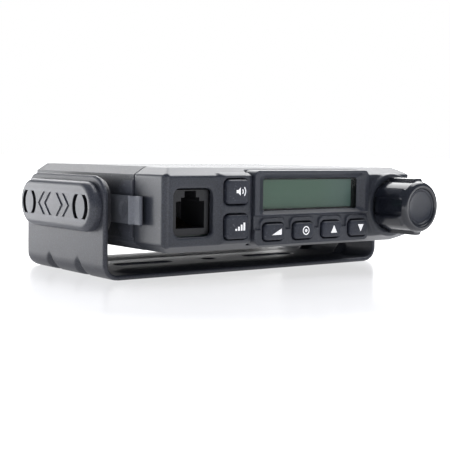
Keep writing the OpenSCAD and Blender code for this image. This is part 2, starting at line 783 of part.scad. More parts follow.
// A triangular rib across a bend, pointing inwards and up, its ridge depth from the corner
module dart(depth, half_width) {
    translate([-arm_x, 0, 0]) rotate([0, 45, 0]) translate([-far / 2, 0, -2])
        rotate([90, 0, 90]) linear_extrude(far)
            polygon([[-half_width * (depth + 2) / depth, 0],
                [half_width * (depth + 2) / depth, 0], [0, depth + 2]]);
}

module darts(depth, half_width) {
    both_sides() for (y = [-dart_y, dart_y]) translate([0, y, 0]) dart(depth, half_width);
}

// The two long beads pressed up out of the floor, each with round ends
module beads(floor_top) {
    for (y = [-bead_y, bead_y]) intersection() {
        translate([0, y, floor_top + bead_h - bead_r]) union() {
            rod_x(bead_r, bead_w - bead_end_x, bead_end_x - bead_w, $fn = 128);
            for (s = [-1, 1]) translate([s * (bead_end_x - bead_w), 0, 0])
                sphere(r = bead_r, $fn = 128);
        }
        block([-far, -far, floor_top], [far, far, far]);
    }
}

module arm_outline() {
    d = bracket_d / 2;
    r = arm_corner_r;
    translate([-d, 0]) square([bracket_d, bracket_h - r]);
    translate([-d + r, 0]) square([bracket_d - 2 * r, bracket_h]);
    for (s = [-1, 1]) translate([s * (d - r), bracket_h - r]) circle(r = r);
}

module mounting_bracket() color([0.17, 0.17, 0.19]) difference() {
    intersection() {
        union() {
            along_y(-bracket_d / 2, bracket_d / 2) difference() {
                u_outline(0);
                u_outline(steel_t);
            }
            intersection() {
                along_y(-bracket_d / 2, bracket_d / 2) u_outline(0);
                darts(dart_h / sqrt(2) + 1.6, dart_w + 1.4);
            }
            beads(steel_t - eps);
        }
        along_x(-arm_x, arm_x) arm_outline();
    }
    darts(dart_h / sqrt(2), dart_w);
    beads(-eps);
    for (s = [-1, 1]) translate([s * slot_pitch / 2, 0, -1]) linear_extrude(steel_t + 2)
        rounded_rect(slot_l, slot_w, slot_w / 2 - eps);
    translate([0, 0, -1]) cylinder(r = 2.2, h = steel_t + 2);
    both_sides() for (y = [-guide_screw_y, guide_screw_y])
        rod_x(guide_screw_r + 0.1, -arm_x - 1, -arm_x + steel_t + 1, y, guide_screw_z);
}

// A moulded cap on the outside of an arm, with two pairs of curved slots and arrow marks
module cap() difference() {
    union() {
        along_x(-arm_x - cap_t + 1.6, -arm_x) translate([0, cap_z])
            rounded_rect(cap_l, cap_h, cap_h / 2 - eps);
        hull() {
            along_x(-arm_x - cap_t + 1.5, -arm_x - cap_t + 1.6) translate([0, cap_z])
                rounded_rect(cap_l, cap_h, cap_h / 2 - eps, $fn = 32);
            along_x(-arm_x - cap_t, -arm_x - cap_t + 0.1) translate([0, cap_z])
                rounded_rect(cap_l - 3, cap_h - 3, cap_h / 2 - 1.5 - eps, $fn = 32);
        }
    }
    for (s = [-1, 1], m = [-1, 1]) along_x(-arm_x - cap_t - 1, -arm_x + 1)
        translate([s * crescent_y, cap_z]) intersection() {
            difference() {
                circle(r = 4.75);
                translate([-m * 1.85, 0]) circle(r = 4.7);
            }
            translate([m * 5, 0]) square([8.4, 7.3], center = true);
        }
    for (s = [-1, 1], k = [0, 1]) along_x(-arm_x - cap_t - 1, -arm_x - cap_t + 0.4)
        translate([s * (1.5 + 4.25 * k), cap_z]) polygon([[0, 3.55], [s * 1.4, 3.55],
            [s * 4.9, 0], [s * 1.4, -3.55], [0, -3.55], [s * 3.5, 0]]);
    for (y = [-guide_screw_y, guide_screw_y])
        rod_x(guide_screw_r, -arm_x - 2.2, -arm_x + 1, y, guide_screw_z);
}

module left_cap() color([0.22, 0.22, 0.24]) cap();
module right_cap() color([0.22, 0.22, 0.24]) mirror([1, 0, 0]) cap();

// The rail inside an arm: mounting plate, rail with its tongue, and the block that holds the leaf
module guide() {
    plate_mid = (guide_plate_front + rail_rear) / 2;
    plate_z = (guide_plate_bottom + guide_plate_top) / 2;
    difference() {
        union() {
            along_x(-guide_x, -guide_x + guide_plate_t) translate([plate_mid, plate_z])
                rounded_rect(rail_rear - guide_plate_front, guide_plate_top - guide_plate_bottom,
                    6);
            block([-guide_x + 1, rail_front + 3, guide_z - 3.2],
                [-half_w - 0.4, rail_rear, guide_z + 3.2]);
            block([-half_w - 0.5, rail_front + 3, guide_z - groove_h / 2 + rail_gap],
                [-half_w + groove_d - rail_gap, rail_rear, guide_z + groove_h / 2 - rail_gap]);
            block([-guide_x + 1, rail_front - 4, guide_z - 3.2],
                [-leaf_x - leaf_t, rail_front + 3.5, guide_z + 3.2]);
        }
        for (y = [-guide_screw_y, guide_screw_y]) {
            rod_x(guide_screw_r + 0.1, -guide_x - 1, -half_w, y, guide_screw_z);
            rod_x(2.1, -guide_x + guide_plate_t - 0.8, -half_w, y, guide_screw_z);
        }
    }
    rod_x(peg_r, -guide_x + 1, -leaf_x - 0.1, peg_y, guide_z);
}

module left_guide() color([0.1, 0.1, 0.11]) guide();
module right_guide() color([0.1, 0.1, 0.11]) mirror([1, 0, 0]) guide();

module guide_screws() color([0.75, 0.75, 0.77]) both_sides()
    for (y = [-guide_screw_y, guide_screw_y]) {
        rod_x(guide_screw_r, -arm_x - 2, -guide_x + guide_plate_t, y, guide_screw_z);
        rod_x(2, -guide_x + guide_plate_t - 0.8, -guide_x + guide_plate_t, y, guide_screw_z);
    }

// Spring leaf: flat, with a ridge, a finger lip and a round dimple that drops into the pad
module latch() difference() {
    union() {
        translate([0, 0, guide_z - 0.3 - leaf_h / 2]) linear_extrude(leaf_h)
            polygon([[-leaf_x, leaf_rear], [-leaf_x - leaf_t, leaf_rear],
                [-leaf_x - leaf_t, -31], [-leaf_x - leaf_t - 1.2, -32],
                [-leaf_x - leaf_t - 1.2, -32.4], [-leaf_x - leaf_t - 0.1, -34],
                [-leaf_x - leaf_t - 0.1, -36.8], [-leaf_x - leaf_t - 0.9, leaf_tip],
                [-leaf_x - 0.5, leaf_tip], [-leaf_x + 0.3, -37.1], [-leaf_x + 0.3, -33.8],
                [-leaf_x - 0.5, -32.2], [-leaf_x, -31.6]]);
        rod_x(dimple_r, -leaf_x - leaf_t / 2, -leaf_x + dimple_d, dimple_y, guide_z);
    }
    rod_x(dimple_r - 0.6, -leaf_x - 2, -leaf_x + dimple_d - 0.6, dimple_y, guide_z);
    rod_x(peg_r + 0.3, -leaf_x - 2, -leaf_x + 1, peg_y, guide_z);
}

module left_latch() color([0.45, 0.45, 0.47]) latch();
module right_latch() color([0.45, 0.45, 0.47]) mirror([1, 0, 0]) latch();

mounting_bracket();
left_cap();
right_cap();
left_guide();
right_guide();
guide_screws();
left_latch();
right_latch();
upper_cover();
lower_cover();
rear_panel();
front_bezel();
display_frame();
display_window();
lcd_panel();
backlight_panel();
lcd_holder();
upper_key();
lower_key();
row_key(0);  // left_menu_key
row_key(1);  // right_menu_key
row_key(2);  // up_key
row_key(3);  // down_key
key_mat();
front_board();
main_board();
board_connector();
shield_can();
filter_cans();
capacitors();
power_transistors();
heat_spreader();
speaker_basket();
speaker_cone();
speaker_magnet();
mic_jack();
mic_jack_contacts();
volume_pot();
pot_nut();
pot_shaft();
volume_knob();
knob_insert();
antenna_socket();
antenna_nut();
antenna_insulator();
antenna_contact();
speaker_jack();
power_gland();
cover_screws();
bezel_screws();
board_screws();
rear_screws();
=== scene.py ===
import json
import math

import bmesh
import bpy
from mathutils import Matrix, Vector

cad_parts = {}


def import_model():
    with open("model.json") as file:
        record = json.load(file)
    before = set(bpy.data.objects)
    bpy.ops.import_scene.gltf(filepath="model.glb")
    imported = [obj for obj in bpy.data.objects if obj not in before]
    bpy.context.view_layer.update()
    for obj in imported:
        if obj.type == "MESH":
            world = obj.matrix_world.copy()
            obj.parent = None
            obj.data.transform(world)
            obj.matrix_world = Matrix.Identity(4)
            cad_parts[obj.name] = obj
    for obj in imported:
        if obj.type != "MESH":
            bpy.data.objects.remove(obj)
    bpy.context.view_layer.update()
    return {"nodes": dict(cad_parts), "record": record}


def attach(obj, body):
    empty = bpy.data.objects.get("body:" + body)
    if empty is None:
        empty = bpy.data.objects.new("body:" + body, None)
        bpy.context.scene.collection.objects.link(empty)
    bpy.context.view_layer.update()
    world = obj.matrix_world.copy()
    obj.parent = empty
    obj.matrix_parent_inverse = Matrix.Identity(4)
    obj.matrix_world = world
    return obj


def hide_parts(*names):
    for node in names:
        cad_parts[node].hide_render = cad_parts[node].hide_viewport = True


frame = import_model()
nodes = frame["nodes"]
MM = 0.001
WHITE = (1, 1, 1, 1)
MIX_A, MIX_B, MIX_OUT = 6, 7, 2        # the colour sockets of a Mix node

# Places and sizes in millimetres, as in the CAD
CAP_LENGTH, CAP_HEIGHT, CAP_CORNER = 49, 15.2, 7.59
CAP_FACE, CAP_BACK = -60.4, -57.0
CAP_Z = 22                             # height of the caps' centre line
SLOT_Y, SLOT_R = 17, 4.75              # centre and outer radius of the curved slots
LEAF_LOW, LEAF_HIGH = 17.4, 25.8
LEAF_Z = 21.9                          # height of the dimple and the peg hole
DIMPLE_Y, PEG_Y = -27.5, -8
KNOB_X, KNOB_Z = 40.2, 21.8
COLUMN_X, COLUMN_FRONT, COLUMN_RISE = -25.8, -50.1, 0.12
COLUMN_SIZE = (8.2, 7.2)
ROW_X, ROW_STEP, ROW_Z, ROW_FRONT, ROW_RISE = -12.7, 11.8, 15, -51.5, 0.1
ROW_SIZE = (8, 5)


# ---------------------------------------------------------------- camera, floor and light

def camera():
    """A long lens at the front left corner, a little above the radio. Places are in metres."""
    data = bpy.data.cameras.new("camera")
    data.sensor_width = 36
    data.lens = 78.505
    data.clip_start = 0.01
    cam = bpy.data.objects.new("camera", data)
    bpy.context.collection.objects.link(cam)
    yaw, pitch, roll = 0.648, 0.074, 0.012
    level = math.cos(pitch)
    ahead = Vector((math.sin(yaw) * level, math.cos(yaw) * level, -math.sin(pitch)))
    right = Vector((math.cos(yaw), -math.sin(yaw), 0))
    up = right.cross(ahead)
    rolled_right = right * math.cos(roll) + up * math.sin(roll)
    rolled_up = up * math.cos(roll) - right * math.sin(roll)
    turn = Matrix((rolled_right, rolled_up, -ahead)).transposed()
    cam.matrix_world = Matrix.Translation((-0.202943, -0.27755, 0.038824)) @ turn.to_4x4()
    bpy.context.scene.camera = cam


def area(name, place, size, power):
    """A rectangular softbox that faces the radio and stays out of sight. Sizes are in metres."""
    data = bpy.data.lights.new(name, "AREA")
    data.shape = "RECTANGLE"
    data.size, data.size_y = size
    data.energy = power
    lamp = bpy.data.objects.new(name, data)
    bpy.context.collection.objects.link(lamp)
    lamp.location = place
    lamp.rotation_euler = (Vector((0, 0, 0.02)) - Vector(place)).to_track_quat("-Z", "Y").to_euler()
    lamp.visible_camera = False


def world():
    """White toward the backdrop, soft grey elsewhere."""
    w = bpy.data.worlds.new("studio")
    bpy.context.scene.world = w
    w.use_nodes = True
    t = w.node_tree
    back = t.nodes["Background"]
    back.inputs["Strength"].default_value = 1.0
    place = add(t, "TexCoord")
    toward = add(t, "VectorMath", operation="DOT_PRODUCT")
    t.links.new(place.outputs["Generated"], toward.inputs[0])
    toward.inputs[1].default_value = (0.6, 0.8, 0)
    behind = spread(t, toward.outputs["Value"], 0.5, 0.88, 0.0, 1.0)
    t.links.new(ramp(t, behind, [(0, (0.24, 0.26, 0.31)), (1, (1, 1, 1))]), back.inputs["Color"])


# ---------------------------------------------------------------- materials

def shader(name):
    """A new material with its node tree and its main shader."""
    m = bpy.data.materials.new(name)
    m.use_nodes = True
    t = m.node_tree
    return m, t, t.nodes["Principled BSDF"]


def add(t, kind, **values):
    """A new node; each value goes to the input or the setting of that name."""
    n = t.nodes.new("ShaderNode" + kind)
    for key, value in values.items():
        if key in n.inputs:
            n.inputs[key].default_value = value
        else:
            setattr(n, key, value)
    return n


def noise(t, scale, detail=2.0, stretch=(1, 1, 1)):
    """Noise fixed to the object, finer for a larger scale."""
    place = add(t, "TexCoord")
    size = add(t, "Mapping")
    size.inputs["Scale"].default_value = stretch
    grain = add(t, "TexNoise", Scale=scale, Detail=detail)
    t.links.new(place.outputs["Object"], size.inputs["Vector"])
    t.links.new(size.outputs["Vector"], grain.inputs["Vector"])
    return grain.outputs["Fac"]


def ramp(t, source, stops):
    """A colour for each value of the source, from stops of (position, colour)."""
    r = add(t, "ValToRGB")
    while len(r.color_ramp.elements) < len(stops):
        r.color_ramp.elements.new(0.5)
    for e, (at, col) in zip(r.color_ramp.elements, stops):
        e.position = at
        e.color = (*col, 1)
    t.links.new(source, r.inputs["Fac"])
    return r.outputs["Color"]


def spread(t, source, low, high, out_low, out_high):
    """The source's range from low to high, stretched to a new range."""
    r = add(t, "MapRange")
    ends = {"From Min": low, "From Max": high, "To Min": out_low, "To Max": out_high}
    for key, value in ends.items():
        r.inputs[key].default_value = value
    t.links.new(source, r.inputs["Value"])
    return r.outputs["Result"]


def mixed(t, factor, first, second, blend="MIX"):
    """Two colours mixed. The factor and the colours are each an output of a node or a plain value."""
    n = add(t, "Mix", data_type="RGBA", blend_type=blend)
    for key, value in (("Factor", factor), (MIX_A, first), (MIX_B, second)):
        if isinstance(value, bpy.types.NodeSocket):
            t.links.new(value, n.inputs[key])
        else:
            n.inputs[key].default_value = value
    return n.outputs[MIX_OUT]


def grained(name, color, rough, grain, depth, speckle, metal=0.0, tone=0.12, coat=0.0,
            coat_rough=0.2, stretch=(1, 1, 1), glints=0.0, painted_edge_highlight=0.0, glow=0.0):
    """A moulded or painted finish: fine grain in the height and colour, broad changes of tone, optional
    painted glints and painted edge highlights in the base colour, and an optional glow.
    """
    m, t, p = shader(name)
    p.inputs["Metallic"].default_value = metal
    p.inputs["Coat Weight"].default_value = coat
    p.inputs["Emission Color"].default_value = WHITE
    p.inputs["Emission Strength"].default_value = glow
    p.inputs["Coat Roughness"].default_value = coat_rough
    fine = noise(t, grain, 2.0, stretch)
    broad = noise(t, 55, 3.0)
    dark = tuple(c * (1 - speckle) for c in color)
    light = tuple(min(1, c * (1 + speckle)) for c in color)
    speck = ramp(t, fine, [(0.36, dark), (0.52, color), (0.68, light)])
    shade = ramp(t, broad, [(0.3, (1 - tone,) * 3), (0.7, (1 + tone,) * 3)])
    base = mixed(t, 1.0, speck, shade, "MULTIPLY")
    # Painted glints: light grey specks in the base colour stand in for small sparkle highlights.
    if glints:
        spots = spread(t, noise(t, grain * 0.55, 1.0), 0.66, 0.74, 0.0, glints)
        base = mixed(t, spots, base, (0.5, 0.5, 0.55, 1))
    # Painted edge highlight: sharp convex edges, found by pointiness, are lightened in the base colour to
    # stand in for light catching the rounded rims.
    if painted_edge_highlight:
        geo = add(t, "NewGeometry")
        edge = spread(t, geo.outputs["Pointiness"], 0.53, 0.62, 0.0, painted_edge_highlight)
        edge_highlight_colour = [min(1, c * 4 + 0.05) for c in color]
        base = mixed(t, edge, base, (*edge_highlight_colour, 1))
    t.links.new(base, p.inputs["Base Color"])
    t.links.new(spread(t, fine, 0.3, 0.7, rough - 0.06, rough + 0.06), p.inputs["Roughness"])
    if depth:
        bump = add(t, "Bump", Strength=0.6, Distance=depth * MM)
        t.links.new(fine, bump.inputs["Height"])
        t.links.new(bump.outputs["Normal"], p.inputs["Normal"])
    return m


def window_glass():
    """The dark, nearly clear pane over the display."""
    m, t, p = shader("window_clear")
    p.inputs["Base Color"].default_value = (0.02, 0.03, 0.025, 1)
    p.inputs["Alpha"].default_value = 0.16
    haze = noise(t, 300, 2.0)
    t.links.new(spread(t, haze, 0.3, 0.7, 0.06, 0.12), p.inputs["Roughness"])
    return m


def liquid_crystal():
    """The display's green face, lighter toward its right end."""
    m, t, p = shader("lcd_face")
    place = add(t, "TexCoord")
    split = add(t, "SeparateXYZ")
    t.links.new(place.outputs["Object"], split.inputs["Vector"])
    across = spread(t, split.outputs["X"], -0.015, 0.023, 0.0, 1.0)
    greens = [(0.0, (0.14, 0.275, 0.18)), (0.62, (0.145, 0.28, 0.19)), (1.0, (0.2, 0.33, 0.28))]
    col = ramp(t, across, greens)
    grain = ramp(t, noise(t, 4200, 1.0), [(0.3, (0.94,) * 3), (0.7, (1.06,) * 3)])
    t.links.new(mixed(t, 1.0, col, grain, "MULTIPLY"), p.inputs["Base Color"])
    p.inputs["Roughness"].default_value = 0.35
    return m


def floor_finish():
    """A pale satin floor that brightens away from the radio until it meets the backdrop."""
    m, t, p = shader("floor_finish")
    place = add(t, "TexCoord")
    far = add(t, "VectorMath", operation="LENGTH")
    t.links.new(place.outputs["Object"], far.inputs[0])
    away = spread(t, far.outputs["Value"], 0.12, 0.6, 0.0, 1.0)
    pale = ramp(t, away, [(0, (0.35, 0.35, 0.37)), (1, (0.95, 0.95, 0.95))])
    t.links.new(pale, p.inputs["Base Color"])
    p.inputs["Emission Color"].default_value = WHITE
    t.links.new(spread(t, far.outputs["Value"], 0.11, 0.26, 0.66, 1.5), p.inputs["Emission Strength"])
    t.links.new(spread(t, noise(t, 30, 2.0), 0.3, 0.7, 0.16, 0.22), p.inputs["Roughness"])
    return m


# Finish: colour, roughness, grain's fineness, its height in mm, its contrast, anything else
LOOKS = {
    "bracket_coat": ((0.05, 0.053, 0.066), 0.46, 3200, 0.04, 0.4, {"glints": 0.08, "painted_edge_highlight": 0.2}),
    "cap_plastic": ((0.062, 0.066, 0.082), 0.38, 2600, 0.02, 0.3, {"painted_edge_highlight": 0.2}),
    "guide_plastic": ((0.03, 0.03, 0.034), 0.45, 2400, 0.02, 0.35, {}),
    "spring_steel": ((0.17, 0.178, 0.2), 0.4, 2600, 0.008, 0.12, {"metal": 0.35, "painted_edge_highlight": 0.3}),
    "cover_paint": ((0.036, 0.039, 0.049), 0.44, 2500, 0.035, 0.35, {"glints": 0.1, "painted_edge_highlight": 0.2}),
    "bezel_plastic": ((0.037, 0.041, 0.053), 0.38, 2500, 0.018, 0.28, {"glints": 0.05, "painted_edge_highlight": 0.2}),
    "backlight_white": ((0.8, 0.82, 0.79), 0.5, 1500, 0.01, 0.04, {}),
    "black_plastic": ((0.014, 0.014, 0.016), 0.42, 2400, 0.015, 0.35, {}),
    "key_rubber": ((0.026, 0.03, 0.044), 0.5, 3000, 0.02, 0.3, {"glints": 0.12}),
    "mat_rubber": ((0.03, 0.03, 0.03), 0.6, 2400, 0.02, 0.35, {}),
    "board_green": ((0.007, 0.03, 0.014), 0.35, 900, 0.02, 0.2, {"coat": 0.4}),
    "tinned_steel": ((0.6, 0.61, 0.62), 0.3, 700, 0.01, 0.06, {"metal": 1.0, "stretch": (1, 12, 1)}),
    "capacitor_sleeve": ((0.03, 0.04, 0.11), 0.3, 1500, 0.01, 0.1, {}),
    "transistor_body": ((0.025, 0.025, 0.025), 0.5, 2500, 0.02, 0.35, {}),
    "bare_aluminium": ((0.62, 0.62, 0.64), 0.35, 600, 0.02, 0.08,
        {"metal": 1.0, "stretch": (14, 1, 1)}),
    "speaker_steel": ((0.3, 0.3, 0.32), 0.35, 800, 0.01, 0.08, {"metal": 1.0}),
    "cone_paper": ((0.035, 0.035, 0.035), 0.8, 1200, 0.06, 0.3, {}),
    # Painted shade: the contacts' gold is darkened well below real gold to stand in for the shade inside the
    # jack.
    "gold_contact": ((0.13, 0.1, 0.05), 0.45, 1200, 0.005, 0.06, {"metal": 1.0}),
    "plated_metal": ((0.62, 0.62, 0.63), 0.24, 900, 0.01, 0.06, {"metal": 1.0}),
    "knob_gloss": ((0.012, 0.014, 0.021), 0.24, 9000, 0, 0.06,
        {"coat": 0.4, "coat_rough": 0.1, "tone": 0.03}),
    "knob_dish": ((0.034, 0.038, 0.05), 0.34, 2600, 0.02, 0.3, {}),
    "insulator_white": ((0.8, 0.8, 0.74), 0.4, 1400, 0.01, 0.05, {}),
    "black_screw": ((0.04, 0.04, 0.042), 0.38, 1500, 0.01, 0.2, {"metal": 0.6}),
    # Painted light: the legend's glow makes the print give off light of its own, though it is no lamp.
    "legend": ((0.9, 0.9, 0.91), 0.45, 3000, 0.005, 0.05, {"tone": 0.03, "glow": 0.35}),
}
FINISH = {name: grained(name, *look, **more) for name, (*look, more) in LOOKS.items()}
FINISH["window_clear"] = window_glass()
FINISH["lcd_face"] = liquid_crystal()
SLOT = {s["node"]: s["material_slot"] for s in frame["record"]["subparts"]}


# ---------------------------------------------------------------- making pieces

def from_points(name, verts, faces):
    """A mesh from points in millimetres."""
    mesh = bpy.data.meshes.new(name)
    mesh.from_pydata([tuple(c * MM for c in v) for v in verts], [], faces)
    return mesh


def outward(mesh):
    """Turns a closed mesh's faces outward."""
    bm = bmesh.new()
    bm.from_mesh(mesh)
    bmesh.ops.recalc_face_normals(bm, faces=bm.faces)
    bm.to_mesh(mesh)
    bm.free()
    return mesh


def make(name, verts, faces, finish, body, replaced=(), angle=35):
    """A new piece from points in millimetres."""
    return dress(name, from_points(name, verts, faces), finish, body, replaced, angle)


def dress(name, mesh, finish, body, replaced=(), angle=35):
    """A mesh made into a piece: its shading, finish, body and the CAD nodes that it stands for."""
    outward(mesh)
    mesh.shade_smooth()
    mesh.set_sharp_from_angle(angle=math.radians(angle))
    piece = bpy.data.objects.new(name, mesh)
    bpy.context.collection.objects.link(piece)
    mesh.materials.clear()
    mesh.materials.append(FINISH[finish])
    even = piece.modifiers.new("even", "WEIGHTED_NORMAL")
    even.keep_sharp = True
    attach(piece, body)
    if replaced:
        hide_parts(*replaced)
    return piece


def clean(node, scale=1):
    """A copy of a CAD node's mesh with its points joined and its flat faces whole."""
    bm = bmesh.new()
    bm.from_mesh(nodes[node].data)
    bmesh.ops.remove_doubles(bm, verts=bm.verts, dist=1e-6)
    bmesh.ops.dissolve_limit(bm, angle_limit=math.radians(0.5), verts=bm.verts, edges=bm.edges)
    bmesh.ops.scale(bm, vec=(scale,) * 3, verts=bm.verts)
    mesh = bpy.data.meshes.new(node + "_fine")
    bm.to_mesh(mesh)
    bm.free()
    return mesh


def carrier(mesh):
    """A temporary object that takes a mesh through its modifiers."""
    temp = bpy.data.objects.new("temp", mesh)
    bpy.context.collection.objects.link(temp)
    return temp


def applied(piece, kind, **values):
    """Puts a modifier on an object, keeps its result as the object's mesh and returns it."""
    mod = piece.modifiers.new("step", kind)
    for key, value in values.items():
        setattr(mod, key, value)
    bpy.context.view_layer.update()
    out = bpy.data.meshes.new_from_object(piece.evaluated_get(bpy.context.evaluated_depsgraph_get()))
    piece.modifiers.remove(mod)
    piece.data = out
    return out


def bevelled(mesh, radius, segments=3, sharp=28):
    """Rounds the sharp edges of a mesh to a radius in millimetres."""
    temp = carrier(mesh)
    out = applied(temp, "BEVEL", width=radius * MM, segments=segments, limit_method="ANGLE",
                  angle_limit=math.radians(sharp), use_clamp_overlap=True)
    bpy.data.objects.remove(temp)
    return out


def soften(node, radius, segments=3, body="radio"):
    """A finer copy of a CAD node with rounded edges, which stands for it."""
    mesh = bevelled(clean(node), radius, segments)
    return dress(node + "_fine", mesh, SLOT[node], body, (node,))


def cut(mesh, cutter_mesh):
    """Cuts one closed mesh out of another."""
    kept, cutter = carrier(mesh), carrier(cutter_mesh)
    out = applied(kept, "BOOLEAN", object=cutter, operation="DIFFERENCE", solver="EXACT")
    bpy.data.objects.remove(kept)
    bpy.data.objects.remove(cutter)
    return out


def loft(rings):
    """Verts and faces of rings joined in order, with both ends closed."""
    n = len(rings[0])
    verts = [p for r in rings for p in r]
    faces = [(k * n + i, k * n + (i + 1) % n, (k + 1) * n + (i + 1) % n, (k + 1) * n + i)
             for k in range(len(rings) - 1) for i in range(n)]
    faces += [tuple(range(n)), tuple((len(rings) - 1) * n + i for i in range(n))]
    return verts, faces


def rounded(w, h, r, steps=8):
    """Points of a rounded rectangle around the origin."""
    out = []
    for cx, cz, start in ((1, 1, 0), (-1, 1, 90), (-1, -1, 180), (1, -1, 270)):
        for k in range(steps + 1):
            a = math.radians(start + 90 * k / steps)
            out.append((cx * (w / 2 - r) + r * math.cos(a), cz * (h / 2 - r) + r * math.sin(a)))
    return out


def prism(outline, place, low, high):
    """A closed mesh between two levels; place(u, v, level) gives a point."""
    verts, faces = loft([[place(u, v, s) for u, v in outline] for s in (low, high)])
    return outward(from_points("prism", verts, faces))


def joined(meshes):
    """Several meshes as one."""
    bm = bmesh.new()
    for m in meshes:
        bm.from_mesh(m)
    out = bpy.data.meshes.new("joined")
    bm.to_mesh(out)
    bm.free()
    return out


def smooth(t):
    """An even rise from 0 to 1 as t goes from 0 to 1."""
    t = max(0.0, min(1.0, t))
    return t * t * (3 - 2 * t)


def on_side(mesh, side):
    """A piece built on the left, flipped over to the right when side is 1."""
    if side > 0:
        for v in mesh.vertices:
            v.co.x = -v.co.x
    return mesh


def circle(x, y, r, steps):
    """Points around a circle."""
    turns = [2 * math.pi * k / steps for k in range(steps)]
    return [(x + r * math.cos(a), y + r * math.sin(a)) for a in turns]


# ---------------------------------------------------------------- covers and panels

def moulded(node, voxel, passes, body="radio"):
    """A finer copy of a CAD node with every edge softened, as moulded or pressed parts have."""
    temp = carrier(clean(node, 1 / MM))
    applied(temp, "REMESH", mode="VOXEL", voxel_size=voxel)
    applied(temp, "SMOOTH", factor=0.5, iterations=passes)
    out = applied(temp, "DECIMATE", decimate_type="DISSOLVE", angle_limit=math.radians(1.2))
    bpy.data.objects.remove(temp)
    out.transform(Matrix.Scale(MM, 4))
    return dress(node + "_fine", out, SLOT[node], body, (node,), 80)


def bodywork():
    """The casings, the bracket and its guides. Voxels and radii are in millimetres."""
    moulded("front_bezel", 0.36, 8)
    moulded("display_frame", 0.24, 3)
    moulded("mounting_bracket", 0.55, 3, "bracket")
    soften("upper_cover", 0.25, 3)
    soften("lower_cover", 0.15, 2)
    soften("rear_panel", 0.2, 2)
    soften("left_guide", 0.25, 3, "bracket")
    soften("right_guide", 0.25, 3, "bracket")
    soften("mic_jack", 0.12, 2)


# ---------------------------------------------------------------- side caps

def cap_tools():
    """What is cut from a cap: deep curved slots near its ends, shallow arrow marks between them."""
    half_height, inner_r, shift = 3.65, 4.7, 1.85
    levels = [half_height * (k / 8 - 1) for k in range(17)]
    arrow = [(0, 3.55), (1.4, 3.55), (4.9, 0), (1.4, -3.55), (0, -3.55), (3.5, 0)]
    outside, slot_floor, arrow_floor = -63, -57.05, -60.02
    tools = []
    for s in (-1, 1):
        for m in (-1, 1):
            y = s * SLOT_Y
            outline = [(y + m * math.sqrt(SLOT_R ** 2 - v * v), CAP_Z + v) for v in levels]
            outline += [(y + m * (math.sqrt(inner_r ** 2 - v * v) - shift), CAP_Z + v)
                        for v in levels[::-1]]
            tools.append(prism(outline, lambda u, v, x: (x, u, v), outside, slot_floor))
        for k in (0, 1):
            base = s * (1.5 + 4.25 * k)
            outline = [(base + s * u, CAP_Z + v) for u, v in arrow]
            tools.append(prism(outline, lambda u, v, x: (x, u, v), outside, arrow_floor))
    return tools


def cap_piece(side):
    """A moulded cap: full rounded edge, two pairs of curved slots, two pairs of arrow marks."""
    edge, steps = 2.0, 6
    rings = []
    for x in (CAP_BACK, CAP_BACK - 0.35):
        rings.append([(x, u, CAP_Z + v) for u, v in rounded(CAP_LENGTH, CAP_HEIGHT, CAP_CORNER, 14)])
    for k in range(steps + 1):
        a = math.radians(90 * k / steps)
        inset = edge * (1 - math.cos(a))
        x = CAP_FACE + edge * (1 - math.sin(a))
        outline = rounded(CAP_LENGTH - 2 * inset, CAP_HEIGHT - 2 * inset, CAP_CORNER - inset, 14)
        rings.append([(x, u, CAP_Z + v) for u, v in outline])
    verts, faces = loft(rings)
    mesh = cut(outward(from_points("cap", verts, faces)), joined(cap_tools()))
    mesh = on_side(bevelled(mesh, 0.13, 2, 40), side)
    node = "right_cap" if side > 0 else "left_cap"
    piece = dress(node + "_fine", mesh, "cap_plastic", "bracket", (node,), 40)
    # Painted shade: faces deep inside the curved slots take black plastic, standing in for the shade that
    # fills the slots.
    piece.data.materials.append(FINISH["black_plastic"])
    for face in piece.data.polygons:
        x, y, z = face.center / MM
        shaded_slot_face = abs(abs(y) - SLOT_Y) < SLOT_R + 0.15 and abs(z - CAP_Z) < 3.75
        if abs(x) < 59.95 and shaded_slot_face:
            face.material_index = 1


# ---------------------------------------------------------------- latch leaves

